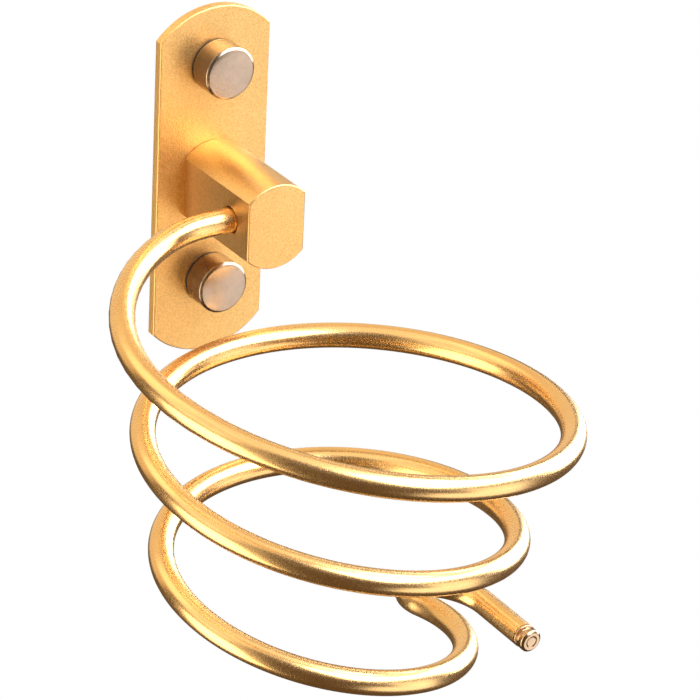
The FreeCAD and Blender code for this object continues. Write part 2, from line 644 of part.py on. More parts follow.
os.makedirs("parts", exist_ok=True)
for node in nodes:
    node.Shape.exportStep(os.path.join("parts", node.Label + ".step"))
    box = node.Shape.BoundBox
    print(f"{node.Label:18s} volume {node.Shape.Volume:9.2f}  x {box.XMin:7.2f} {box.XMax:7.2f}"
          f"  y {box.YMin:7.2f} {box.YMax:7.2f}  z {box.ZMin:7.2f} {box.ZMax:7.2f}")
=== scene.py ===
"""Looks of the wall-mounted spiral hair dryer holder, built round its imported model."""
import bmesh
import bpy
import math
from mathutils import Matrix, Vector


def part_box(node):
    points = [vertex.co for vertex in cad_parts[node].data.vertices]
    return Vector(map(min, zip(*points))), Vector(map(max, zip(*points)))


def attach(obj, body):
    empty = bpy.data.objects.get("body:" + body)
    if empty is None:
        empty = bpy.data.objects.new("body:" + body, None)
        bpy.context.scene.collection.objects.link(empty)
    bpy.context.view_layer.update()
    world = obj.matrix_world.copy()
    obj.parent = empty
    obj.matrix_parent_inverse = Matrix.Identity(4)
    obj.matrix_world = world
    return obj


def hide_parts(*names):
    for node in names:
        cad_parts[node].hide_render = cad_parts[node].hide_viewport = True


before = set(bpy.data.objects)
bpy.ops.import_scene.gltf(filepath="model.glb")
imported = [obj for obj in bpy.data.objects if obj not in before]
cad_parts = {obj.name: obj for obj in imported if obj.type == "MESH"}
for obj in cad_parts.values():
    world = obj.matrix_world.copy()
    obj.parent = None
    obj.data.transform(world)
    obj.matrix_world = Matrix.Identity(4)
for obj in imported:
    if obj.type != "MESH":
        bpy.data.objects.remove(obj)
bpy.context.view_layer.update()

# ---- camera, floor and light -------------------------------------------------------------
# The holder hangs over a pale floor, seen from its left front and a little above. The
# brightest soft boxes stand high in front and to its right, a warm one stands to its left
# and dim ones fill the gaps, so the round rod shows white, gold and brown bands.

CAMERA_SPOT = (-0.52704, -0.84635, 0.45912)
LENS_MM = 236.05
SENSOR_MM = 36.0
camera_data = bpy.data.cameras.new("studio_camera")
camera_data.lens = LENS_MM
camera_data.sensor_width = SENSOR_MM
camera_data.clip_end = 50.0
camera = bpy.data.objects.new("studio_camera", camera_data)
look_right, look_down, lean = (math.radians(degrees) for degrees in (34.005, 26.819, 2.79))
camera.matrix_world = (Matrix.Translation(CAMERA_SPOT)
                       @ Matrix.Rotation(-look_right, 4, "Z")
                       @ Matrix.Rotation(math.radians(90) - look_down, 4, "X")
                       @ Matrix.Rotation(lean, 4, "Z"))
bpy.context.scene.collection.objects.link(camera)
bpy.context.scene.camera = camera

world = bpy.data.worlds.new("studio_room")
world.use_nodes = True
room = world.node_tree.nodes["Background"]
room.inputs["Color"].default_value = (1.0, 0.62, 0.28, 1.0)
room.inputs["Strength"].default_value = 0.11
bpy.context.scene.world = world
bpy.context.scene.view_settings.view_transform = "Standard"


def soft_box(name, azimuth, elevation, width, height, brightness, tint):
    """A large lamp facing the coil; azimuth 0 is straight in front and 90 is to the right."""
    coil_centre, distance, power_per_area = Vector((0.0, -0.06, -0.03)), 1.6, 4
    lamp_data = bpy.data.lights.new(name, "AREA")
    lamp_data.shape = "RECTANGLE"
    lamp_data.size, lamp_data.size_y = width, height
    lamp_data.energy = brightness * width * height * power_per_area
    lamp_data.color = tint
    lamp = bpy.data.objects.new(name, lamp_data)
    turn, rise = math.radians(azimuth), math.radians(elevation)
    away = Vector((math.sin(turn) * math.cos(rise), -math.cos(turn) * math.cos(rise),
                   math.sin(rise)))
    lamp.matrix_world = (Matrix.Translation(coil_centre + away * distance)
                         @ away.to_track_quat("Z", "Y").to_matrix().to_4x4())
    lamp.visible_camera = False
    bpy.context.scene.collection.objects.link(lamp)


WHITE = (1.0, 1.0, 1.0)
CREAM = (1.0, 0.92, 0.78)
for lamp_settings in (
        # name, azimuth, elevation, width, height, brightness, tint
        ("key_box", 42, 48, 2.0, 1.1, 6.5, WHITE),
        ("right_box", 102, 12, 1.3, 1.3, 6.5, (1.0, 0.96, 0.88)),
        ("front_box", 42, -2, 0.9, 0.8, 1.2, WHITE),
        ("low_front_box", 32, -32, 1.4, 1.0, 1.2, WHITE),
        ("left_box", -97, -19, 1.25, 1.9, 2.9, (1.0, 0.88, 0.68)),
        ("left_side_box", -90, 10, 1.8, 2.0, 0.4, CREAM),
        ("left_high_box", -120, 50, 2.2, 1.3, 0.8, CREAM),
        ("overhead_box", 60, 84, 1.6, 1.6, 0.8, CREAM),
        ("back_box", 180, 26, 2.8, 2.7, 0.64, (1.0, 0.81, 0.52))):
    soft_box(*lamp_settings)

FLOOR_HEIGHT = -1.2
FLOOR_REACH = 5.0
DOME_RADIUS = 8.0
FADE_START = 3.6
FAR_BRIGHTNESS = 0.78


def floor_material():
    """An evenly glowing pale surround, white near the holder and a shade darker far off."""
    material = bpy.data.materials.new("pale_floor")
    material.use_nodes = True
    nodes, links = material.node_tree.nodes, material.node_tree.links
    nodes.clear()
    glow = nodes.new("ShaderNodeEmission")
    glow.label = "Even pale light"
    glow.inputs["Color"].default_value = (1.0, 1.0, 1.0, 1.0)
    place = nodes.new("ShaderNodeTexCoord")
    place.label = "Where in the studio"
    distance = nodes.new("ShaderNodeVectorMath")
    distance.label = "Distance from the holder"
    distance.operation = "LENGTH"
    fade = nodes.new("ShaderNodeMapRange")
    fade.label = "Darker far off"
    fade.inputs["From Min"].default_value = FADE_START
    fade.inputs["From Max"].default_value = FLOOR_REACH
    fade.inputs["To Min"].default_value = 1.0
    fade.inputs["To Max"].default_value = FAR_BRIGHTNESS
    output = nodes.new("ShaderNodeOutputMaterial")
    output.label = "Surface out"
    fade_frame = nodes.new("NodeFrame")
    fade_frame.label = "Fade to the far side"
    for node in (distance, fade):
        node.parent = fade_frame
    for node, spot in ((place, (-640, 0)), (distance, (-440, 0)), (fade, (-220, 0)),
                       (glow, (0, 0)), (output, (220, 0))):
        node.location = spot
    links.new(place.outputs["Object"], distance.inputs[0])
    links.new(distance.outputs["Value"], fade.inputs["Value"])
    links.new(fade.outputs["Result"], glow.inputs["Strength"])
    links.new(glow.outputs["Emission"], output.inputs["Surface"])
    return material


floor_cage = bmesh.new()
bmesh.ops.create_grid(floor_cage, x_segments=1, y_segments=1, size=FLOOR_REACH,
                      matrix=Matrix.Translation((0.0, 0.0, FLOOR_HEIGHT)))
dome_cage = bmesh.new()
bmesh.ops.create_uvsphere(dome_cage, u_segments=32, v_segments=16, radius=DOME_RADIUS)
bmesh.ops.reverse_faces(dome_cage, faces=dome_cage.faces)
pale_light = floor_material()
for name, cage in (("floor", floor_cage), ("backdrop", dome_cage)):
    mesh = bpy.data.meshes.new(name)
    cage.to_mesh(mesh)
    cage.free()
    mesh.materials.append(pale_light)
    surround = bpy.data.objects.new(name, mesh)
    bpy.context.scene.collection.objects.link(surround)
    surround.visible_diffuse = surround.visible_glossy = surround.visible_shadow = False

# ---- wall plate --------------------------------------------------------------------------
# Flat bar with arched ends, stamped from sheet, its edges broken, blasted and plated gold.
# Two countersunk screws behind it carry the post, and two more under caps go into the wall.


def satin_gold(name, light_tone, deep_tone, roughness, lacquer, grain_size, grain_depth,
               fleck, spread):
    """Blasted or drawn metal under a gold coat: fine grain, soft clouding and small flecks."""
    material = bpy.data.materials.new(name)
    material.use_nodes = True
    nodes, links = material.node_tree.nodes, material.node_tree.links
    nodes.clear()
    output = nodes.new("ShaderNodeOutputMaterial")
    output.label = "Surface out"
    metal = nodes.new("ShaderNodeBsdfPrincipled")
    metal.label = "Gold coated metal"
    metal.inputs["Metallic"].default_value = 1.0
    metal.inputs["Coat Weight"].default_value = lacquer
    metal.inputs["Coat Roughness"].default_value = roughness + 0.05
    metal.inputs["Coat IOR"].default_value = 2.0
    place = nodes.new("ShaderNodeTexCoord")
    place.label = "Where on the piece"

    tone_frame = nodes.new("NodeFrame")
    tone_frame.label = "Clouded gold tone"
    cloud = nodes.new("ShaderNodeTexNoise")
    cloud.label = "Slow change of tone"
    cloud.inputs["Scale"].default_value = 70.0
    cloud.inputs["Detail"].default_value = 3.0
    speck = nodes.new("ShaderNodeTexNoise")
    speck.label = "Grain of the blasting"
    speck.inputs["Scale"].default_value = 1.0 / grain_size
    speck.inputs["Detail"].default_value = 3.0
    speck.inputs["Roughness"].default_value = 0.65
    blend = nodes.new("ShaderNodeMix")
    blend.label = "Grain over clouds"
    blend.inputs["Factor"].default_value = fleck
    tone = nodes.new("ShaderNodeValToRGB")
    tone.label = "Deep to light gold"
    tone.color_ramp.elements[0].position = 0.5 - spread
    tone.color_ramp.elements[0].color = (*deep_tone, 1.0)
    tone.color_ramp.elements[1].position = 0.5 + spread
    tone.color_ramp.elements[1].color = (*light_tone, 1.0)

    gloss_frame = nodes.new("NodeFrame")
    gloss_frame.label = "Uneven satin"
    gloss = nodes.new("ShaderNodeMapRange")
    gloss.label = "Grain to roughness"
    gloss.inputs["From Min"].default_value = 0.3
    gloss.inputs["From Max"].default_value = 0.7
    gloss.inputs["To Min"].default_value = roughness - 0.07
    gloss.inputs["To Max"].default_value = roughness + 0.07

    relief_frame = nodes.new("NodeFrame")
    relief_frame.label = "Grain relief"
    pits = nodes.new("ShaderNodeTexVoronoi")
    pits.label = "Blast craters"
    pits.inputs["Scale"].default_value = 0.7 / grain_size
    crater = nodes.new("ShaderNodeBump")
    crater.label = "Crater depth"
    crater.inputs["Strength"].default_value = 0.5
    crater.inputs["Distance"].default_value = grain_depth
    sand = nodes.new("ShaderNodeBump")
    sand.label = "Fine grain depth"
    sand.inputs["Strength"].default_value = 0.8
    sand.inputs["Distance"].default_value = grain_depth * 0.6

    for node, frame_node in ((cloud, tone_frame), (speck, tone_frame), (blend, tone_frame),
                             (tone, tone_frame), (gloss, gloss_frame), (pits, relief_frame),
                             (crater, relief_frame), (sand, relief_frame)):
        node.parent = frame_node
    for node, spot in ((place, (-1100, 0)), (cloud, (-880, 320)), (speck, (-880, 60)),
                       (blend, (-660, 240)), (tone, (-460, 240)), (gloss, (-460, -40)),
                       (pits, (-880, -260)), (crater, (-460, -300)), (sand, (-260, -300)),
                       (metal, (0, 100)), (output, (300, 100))):
        node.location = spot
    for texture in (cloud, speck, pits):
        links.new(place.outputs["Object"], texture.inputs["Vector"])
    links.new(cloud.outputs["Fac"], blend.inputs["A"])
    links.new(speck.outputs["Fac"], blend.inputs["B"])
    links.new(blend.outputs["Result"], tone.inputs["Fac"])
    links.new(tone.outputs["Color"], metal.inputs["Base Color"])
    links.new(speck.outputs["Fac"], gloss.inputs["Value"])
    links.new(gloss.outputs["Result"], metal.inputs["Roughness"])
    links.new(pits.outputs["Distance"], crater.inputs["Height"])
    links.new(speck.outputs["Fac"], sand.inputs["Height"])
    links.new(crater.outputs["Normal"], sand.inputs["Normal"])
    links.new(sand.outputs["Normal"], metal.inputs["Normal"])
    links.new(metal.outputs["BSDF"], output.inputs["Surface"])
    return material


def arc(centre, radius, start, end, count):
    """Points on an arc in a flat outline, from start to end in degrees, both included."""
    turns = [math.radians(start + (end - start) * n / (count - 1)) for n in range(count)]
    return [(centre[0] + radius * math.cos(t), centre[1] + radius * math.sin(t)) for t in turns]


def hole(height, radius, count=48):
    """The outline of a round hole on the middle line, drawn the other way round from an edge."""
    return arc((0, height), radius, 360, 360 / count, count)


def flat_bar(name, outlines, front, back, edge, edge_steps):
    """A bar of one section along Y, with holes, its edges rounded; outlines are in X and Z."""
    curve = bpy.data.curves.new(name, "CURVE")
    curve.dimensions = "2D"
    curve.fill_mode = "BOTH"
    curve.extrude = (back - front) / 2 - edge
    curve.bevel_depth = edge
    curve.bevel_resolution = edge_steps
    curve.offset = -edge
    for outline in outlines:
        spline = curve.splines.new("POLY")
        spline.points.add(len(outline) - 1)
        for point, (across, up) in zip(spline.points, outline):
            point.co = (across, up, 0.0, 1.0)
        spline.use_cyclic_u = True
    return settled_mesh(name, curve, Matrix.Translation((0.0, (front + back) / 2, 0.0))
                        @ Matrix.Rotation(math.radians(90), 4, "X"))


CREASE_ANGLE = math.radians(35)
WELD_DISTANCE = 1e-6


def settled_mesh(name, shape, place, stack=()):
    """The finished mesh of a curve or cage with its modifier stack, moved to its place."""
    maker = bpy.data.objects.new(name + "_cage", shape)
    bpy.context.scene.collection.objects.link(maker)
    for kind, settings in stack:
        modifier = maker.modifiers.new(kind.title(), kind)
        for setting, value in settings.items():
            setattr(modifier, setting, value)
    graph = bpy.context.evaluated_depsgraph_get()
    mesh = bpy.data.meshes.new_from_object(maker.evaluated_get(graph), depsgraph=graph)
    bpy.data.objects.remove(maker)
    mesh.transform(place)
    cleaner = bmesh.new()
    cleaner.from_mesh(mesh)
    bmesh.ops.remove_doubles(cleaner, verts=cleaner.verts, dist=WELD_DISTANCE)
    bmesh.ops.recalc_face_normals(cleaner, faces=cleaner.faces)
    cleaner.to_mesh(mesh)
    cleaner.free()
    mesh.name = name
    mesh.shade_smooth()
    mesh.set_sharp_from_angle(angle=CREASE_ANGLE)
    piece = bpy.data.objects.new(name, mesh)
    bpy.context.scene.collection.objects.link(piece)
    return piece


def fit_piece(piece, material, slot, body, *nodes):
    """Give a piece its finish, the body it moves with and the nodes that it stands for."""
    if piece.type == "MESH":
        shading = piece.modifiers.new("Flats shaded flat", "WEIGHTED_NORMAL")
        shading.keep_sharp = True
        shading.weight = 100
    piece.data.materials.clear()
    piece.data.materials.append(material)
    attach(piece, body)
    if nodes:
        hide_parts(*nodes)


def cut_away(piece, cutter):
    """Take the cutter's shape out of a piece for good."""
    cut = piece.modifiers.new("Cut", "BOOLEAN")
    cut.operation = "DIFFERENCE"
    cut.solver = "EXACT"
    cut.object = cutter
    graph = bpy.context.evaluated_depsgraph_get()
    mesh = bpy.data.meshes.new_from_object(piece.evaluated_get(graph), depsgraph=graph)
    piece.modifiers.clear()
    piece.data = mesh
    mesh.shade_smooth()
    mesh.set_sharp_from_angle(angle=CREASE_ANGLE)
    bpy.data.objects.remove(cutter)


SIDE_HEIGHT = 0.038
EDGE_BREAK = 0.00035
WALL_HOLE = 0.00325
POST_SCREW_HOLE = 0.0037
POST_SCREW_HEIGHTS = (0.006, -0.006)
ARCH_POINTS = 49

plate_low, plate_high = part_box("wall_plate")
half_width = plate_high.x
rise = plate_high.z - SIDE_HEIGHT
arch_radius = (half_width ** 2 + rise ** 2) / (2 * rise)
arch_centre = plate_high.z - arch_radius
arch_reach = math.degrees(math.acos(half_width / arch_radius))
cap_heights = {end: (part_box("screw_cap_" + end)[0].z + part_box("screw_cap_" + end)[1].z) / 2
               for end in ("upper", "lower")}
plate_outline = (
    arc((0, arch_centre), arch_radius, arch_reach, 180 - arch_reach, ARCH_POINTS)
    + arc((0, -arch_centre), arch_radius, 180 + arch_reach, 360 - arch_reach, ARCH_POINTS))
wall_holes = [hole(height, WALL_HOLE) for height in cap_heights.values()]
post_holes = [hole(height, POST_SCREW_HOLE) for height in POST_SCREW_HEIGHTS]
plate = flat_bar("gold_plate", [plate_outline] + wall_holes + post_holes,
                 plate_low.y, plate_high.y, edge=EDGE_BREAK, edge_steps=2)
plate_gold = satin_gold("plate_gold", light_tone=(0.93, 0.59, 0.19),
                        deep_tone=(0.69, 0.38, 0.065), roughness=0.46, lacquer=0.8,
                        grain_size=0.00030, grain_depth=0.00009, fleck=0.9, spread=0.09)
fit_piece(plate, plate_gold, "plate_gold", "wall_mount", "wall_plate")

# ---- post --------------------------------------------------------------------------------
# Short round bar with two milled flats, of the plate's gold coated metal, screwed on from
# behind. It is bored from its left flat for the rod, with a chamfered mouth, and a set
# screw in a hole underneath clamps the rod.


def turned_piece(name, profile, place, edge=0.0, steps=96):
    """A shape turned about its own Z axis from (radius, height) points, top to bottom."""
    cage = bpy.data.meshes.new(name + "_profile")
    cage.from_pydata([(radius, 0.0, height) for radius, height in profile],
                     [(n, n + 1) for n in range(len(profile) - 1)], [])
    stack = [("SCREW", {"axis": "Z", "steps": steps, "render_steps": steps,
                        "use_merge_vertices": True, "merge_threshold": WELD_DISTANCE})]
    if edge:
        stack.append(("BEVEL", {"width": edge, "segments": 3, "limit_method": "ANGLE",
                                "angle_limit": math.radians(20)}))
    return settled_mesh(name, cage, place, stack)


ROUND_POINTS = 41
post_low, post_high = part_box("support_post")
post_radius = post_high.z
flat_reach = math.degrees(math.acos(post_high.x / post_radius))
post_outline = (
    arc((0, 0), post_radius, flat_reach, 180 - flat_reach, ROUND_POINTS)
    + arc((0, 0), post_radius, 180 + flat_reach, 360 - flat_reach, ROUND_POINTS))
post = flat_bar("post_bar", [post_outline], post_low.y, post_high.y,
                edge=EDGE_BREAK, edge_steps=2)

BORE_FIT = 0.00305
BORE_MOUTH = 0.00325
BORE_CHAMFER = 0.00028
MOUTH_DEPTH = 0.003
BORE_DEPTH = 0.013
CLEAR = 0.002
set_screw_low, set_screw_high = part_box("rod_set_screw")
bore_y = set_screw_low.y / 2 + set_screw_high.y / 2
bore_place = (Matrix.Translation((post_low.x, bore_y, 0.0))
              @ Matrix.Rotation(math.radians(-90), 4, "Y"))
cut_away(post, turned_piece("bore_cutter", [
    (0.0, CLEAR), (BORE_MOUTH + BORE_CHAMFER + CLEAR, CLEAR), (BORE_MOUTH, -BORE_CHAMFER),
    (BORE_MOUTH, -MOUTH_DEPTH), (BORE_FIT, -MOUTH_DEPTH), (BORE_FIT, -BORE_DEPTH),
    (0.0, -BORE_DEPTH)], bore_place))

GRUB_HOLE = 0.002
GRUB_DEPTH = 0.012
cut_away(post, turned_piece("grub_cutter", [
    (0.0, 0.0), (GRUB_HOLE, 0.0), (GRUB_HOLE, -GRUB_DEPTH), (0.0, -GRUB_DEPTH)],
    Matrix.Translation((0.0, bore_y, 0.0)), steps=48))
post_gold = satin_gold("post_gold", light_tone=(0.87, 0.53, 0.165),
                       deep_tone=(0.64, 0.335, 0.055), roughness=0.34, lacquer=0.8,
                       grain_size=0.00030, grain_depth=0.00008, fleck=0.85, spread=0.10)
fit_piece(post, post_gold, "post_gold", "wall_mount", "support_post")

# ---- post screws -------------------------------------------------------------------------
# Two zinc-plated flat-head screws with key sockets run from the back of the plate into the
# post, their heads sunk flush, and a grub screw below the post clamps the rod.


RING_GAP_AT_SCALE_1 = 0.314


def turned_metal(name, tone, tint, roughness, centre, axis, ring_gap):
    """Metal turned on a lathe and polished or plated, with fine rings about the piece's axis."""
    material = bpy.data.materials.new(name)
    material.use_nodes = True
    nodes, links = material.node_tree.nodes, material.node_tree.links
    nodes.clear()
    output = nodes.new("ShaderNodeOutputMaterial")
    output.label = "Surface out"
    metal = nodes.new("ShaderNodeBsdfPrincipled")
    metal.label = "Turned metal"
    metal.inputs["Metallic"].default_value = 1.0
    metal.inputs["Coat Weight"].default_value = 0.2
    metal.inputs["Coat Roughness"].default_value = 0.1
    place = nodes.new("ShaderNodeTexCoord")
    place.label = "Where on the piece"

    ring_frame = nodes.new("NodeFrame")
    ring_frame.label = "Turning rings"
    centred = nodes.new("ShaderNodeMapping")
    centred.label = "Stand on the turning axis"
    quarter = axis.to_track_quat("Z", "Y").inverted()
    centred.inputs["Rotation"].default_value = quarter.to_euler()
    centred.inputs["Location"].default_value = -(quarter @ centre)
    rings = nodes.new("ShaderNodeTexWave")
    rings.label = "Tool marks"
    rings.wave_type = "RINGS"
    rings.rings_direction = "Z"
    rings.inputs["Scale"].default_value = RING_GAP_AT_SCALE_1 / ring_gap
    rings.inputs["Distortion"].default_value = 0.6
    rings.inputs["Detail"].default_value = 2.0
    cut = nodes.new("ShaderNodeBump")
    cut.label = "Depth of the marks"
    cut.inputs["Strength"].default_value = 0.25
    cut.inputs["Distance"].default_value = 0.000004

    tone_frame = nodes.new("NodeFrame")
    tone_frame.label = "Handled polish"
    smear = nodes.new("ShaderNodeTexNoise")
    smear.label = "Polish and smears"
    smear.inputs["Scale"].default_value = 420.0
    smear.inputs["Detail"].default_value = 4.0
    hue = nodes.new("ShaderNodeMix")
    hue.label = "Warm and cool patches"
    hue.data_type = "RGBA"
    hue.inputs["A"].default_value = (*tone, 1.0)
    hue.inputs["B"].default_value = (*tint, 1.0)
    gloss = nodes.new("ShaderNodeMapRange")
    gloss.label = "Smears to roughness"
    gloss.inputs["To Min"].default_value = roughness - 0.04
    gloss.inputs["To Max"].default_value = roughness + 0.05

    for node, frame_node in ((centred, ring_frame), (rings, ring_frame), (cut, ring_frame),
                             (smear, tone_frame), (hue, tone_frame), (gloss, tone_frame)):
        node.parent = frame_node
    for node, spot in ((place, (-1000, 0)), (centred, (-780, -240)), (rings, (-560, -240)),
                       (cut, (-320, -240)), (smear, (-780, 160)), (hue, (-400, 260)),
                       (gloss, (-400, 20)), (metal, (0, 0)), (output, (300, 0))):
        node.location = spot
    links.new(place.outputs["Object"], centred.inputs["Vector"])
    links.new(centred.outputs["Vector"], rings.inputs["Vector"])
    links.new(rings.outputs["Fac"], cut.inputs["Height"])
    links.new(cut.outputs["Normal"], metal.inputs["Normal"])
    links.new(place.outputs["Object"], smear.inputs["Vector"])
    links.new(smear.outputs["Fac"], hue.inputs["Factor"])
    links.new(hue.outputs["Result"], metal.inputs["Base Color"])
    links.new(smear.outputs["Fac"], gloss.inputs["Value"])
    links.new(gloss.outputs["Result"], metal.inputs["Roughness"])
    links.new(metal.outputs["BSDF"], output.inputs["Surface"])
    return material


TOOL_MARK_GAP = 0.0002


def zinc_plate(node, centre, axis):
    """Give a screw that keeps its modelled shape bright zinc, with rings about its own axis."""
    zinc = turned_metal("zinc_" + node, tone=(0.66, 0.67, 0.70), tint=(0.52, 0.53, 0.55),
                        roughness=0.34, centre=centre, axis=axis, ring_gap=TOOL_MARK_GAP)
    for finish in bpy.data.objects[node].material_slots:
        finish.material = zinc


for node in ("post_screw_upper", "post_screw_lower", "rod_set_screw"):
    low, high = (Vector(corner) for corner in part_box(node))
    screw_axis = Vector((0, 0, -1)) if node == "rod_set_screw" else Vector((0, 1, 0))
    zinc_plate(node, (low + high) / 2, screw_axis)

# ---- coiled rod --------------------------------------------------------------------------
# One length of 6 mm bar: a straight end in the post, a wide bend, three tapering turns, a
# reverse bend and a straight tail. It is drawn smooth and plated, glossier than the plate.

ROD_RADIUS = 0.003
ROD_INNER_END = 0.005
STRAIGHT_END = 0.0144
COIL_MIDDLE = Vector((-0.0062, -0.0798, -0.00295))
COIL_TILT = (Matrix.Rotation(math.radians(2.2), 3, "X")
             @ Matrix.Rotation(math.radians(5.3), 3, "Y"))
COIL_HEADING = 8.8
COIL_RADIUS, COIL_TAPER, TAPER_EASE = 0.05703, -0.001519, 0.0000124
COIL_FALL, FALL_GAIN = -0.004348, -0.000017
FIRST_ANGLE, LAST_ANGLE, COIL_STEPS = 120.5, 1008.0, 20
HOOK_RADIUS, HOOK_STEPS = 0.0105, 6
TAIL_HEADING = -88.0
TAIL_LENGTH = 0.0154
BEND_OUT_PULL, BEND_IN_PULL = 0.0203, 0.0445


def coil_station(degrees):
    """Point and direction of the tapering coil; the angle starts at the back."""
    angle = math.radians(degrees)
    turned = angle - math.radians(COIL_HEADING)
    radius = COIL_RADIUS + COIL_TAPER * angle + TAPER_EASE * angle ** 2
    growth = 2 * TAPER_EASE * angle + COIL_TAPER
    drop = COIL_FALL * angle + FALL_GAIN * angle ** 2
    fall = COIL_FALL + 2 * FALL_GAIN * angle
    sine, cosine = math.sin(turned), math.cos(turned)
    point = Vector((-radius * sine, radius * cosine, drop))
    course = Vector((-growth * sine - radius * cosine, growth * cosine - radius * sine, fall))
    return COIL_MIDDLE + COIL_TILT @ point, (COIL_TILT @ course).normalized()


def hook_stations(start, course):
    """The reverse bend after the last turn, of one radius and dipping on its way round."""
    turn_from, turn_to = math.atan2(course.y, course.x), math.radians(TAIL_HEADING)
    slope_in = course.z / math.hypot(course.x, course.y)
    slope_mid, slope_out = -0.26, -0.06
    length = HOOK_RADIUS * (turn_from - turn_to)
    centre = start + Vector((math.sin(turn_from), -math.cos(turn_from), 0.0)) * HOOK_RADIUS
    stations = []
    for step in range(1, HOOK_STEPS + 1):
        part = step / HOOK_STEPS
        turn = turn_from + (turn_to - turn_from) * part
        # the slope follows a parabola through its three values, and sunk adds it up
        slope = (slope_in * (1 - part) * (1 - 2 * part) + 4 * slope_mid * part * (1 - part)
                 + slope_out * part * (2 * part - 1))
        sunk = (slope_in * (part - 1.5 * part ** 2 + 2 * part ** 3 / 3)
                + slope_mid * (2 * part ** 2 - 4 * part ** 3 / 3)
                + slope_out * (2 * part ** 3 / 3 - part ** 2 / 2))
        point = centre + Vector((-math.sin(turn), math.cos(turn), 0.0)) * HOOK_RADIUS
        point.z = start.z + sunk * length
        stations.append((point, Vector((math.cos(turn), math.sin(turn), slope)).normalized()))
    return stations


rod_entry = Vector((-STRAIGHT_END, bore_y, 0.0))
coil = [coil_station(FIRST_ANGLE + (LAST_ANGLE - FIRST_ANGLE) * n / COIL_STEPS)
        for n in range(COIL_STEPS + 1)]
hook = hook_stations(*coil[-1])
tail_start, tail_course = hook[-1]
tail_end = tail_start + tail_course * TAIL_LENGTH
leftward = Vector((-1, 0, 0))
stations = [(Vector((ROD_INNER_END, bore_y, 0.0)), leftward), (rod_entry, leftward)]
stations += coil + hook + [(tail_end, tail_course)]

rod_curve = bpy.data.curves.new("coiled_rod", "CURVE")
rod_curve.dimensions = "3D"
rod_curve.resolution_u = rod_curve.render_resolution_u = 20
rod_curve.bevel_depth = ROD_RADIUS
rod_curve.bevel_resolution = 14
rod_curve.use_fill_caps = True
rod_line = rod_curve.splines.new("BEZIER")
rod_line.bezier_points.add(len(stations) - 1)
for knot, (point, course) in zip(rod_line.bezier_points, stations):
    knot.co = point
    knot.handle_left_type = knot.handle_right_type = "FREE"
    knot.handle_left, knot.handle_right = point, point
for here, there, (point, course), (next_point, next_course) in zip(
        rod_line.bezier_points, rod_line.bezier_points[1:], stations, stations[1:]):
    # handles as long as an arc of that bend needs
    bend = course.angle(next_course, 0.0)
    pull = (next_point - point).length / (3 * math.cos(bend / 4) ** 2)
    out_pull, in_pull = (BEND_OUT_PULL, BEND_IN_PULL) if point == rod_entry else (pull, pull)
    here.handle_right = point + course * out_pull
    there.handle_left = next_point - next_course * in_pull
rod = bpy.data.objects.new("coiled_rod", rod_curve)
bpy.context.scene.collection.objects.link(rod)
rod_gold = satin_gold("rod_gold", light_tone=(0.95, 0.58, 0.17),
                      deep_tone=(0.84, 0.475, 0.115), roughness=0.27, lacquer=1.0,
                      grain_size=0.00034, grain_depth=0.000007, fleck=0.3, spread=0.16)
fit_piece(rod, rod_gold, "rod_gold", "wall_mount", "spiral_rod")

# ---- rod tip -----------------------------------------------------------------------------
# The tail ends in a turned and polished brass tip with a groove behind its head and a dished
# face. A stub on its back is pressed into the rod.

tip_profile = [
    (0.0, 0.0034), (0.0012, 0.0034), (0.0016, 0.0036), (0.0023, 0.0036),  # dished face
    (0.0029, 0.0031), (0.0029, 0.0019),                                   # head
    (0.0022, 0.0016), (0.0022, 0.0009),                                   # groove
    (0.0030, 0.0007), (0.0030, 0.00002),                                  # collar
    (0.0014, 0.00002), (0.0014, -0.0039), (0.0, -0.0039)]                 # stub
tip_place = (Matrix.Translation(tail_end)
             @ tail_course.to_track_quat("Z", "Y").to_matrix().to_4x4())
tip = turned_piece("turned_tip", tip_profile, tip_place, edge=0.00012)
tip_alloy = turned_metal("tip_champagne", tone=(0.62, 0.45, 0.30), tint=(0.52, 0.36, 0.22),
                         roughness=0.22, centre=tail_end, axis=tail_course,
                         ring_gap=TOOL_MARK_GAP)
fit_piece(tip, tip_alloy, "tip_champagne", "wall_mount", "rod_end_tip")

# ---- wall plugs --------------------------------------------------------------------------
# Ribbed plugs moulded of grey nylon, slit crosswise so that the screws can spread them, sit
# in the drilled wall just behind the plate.


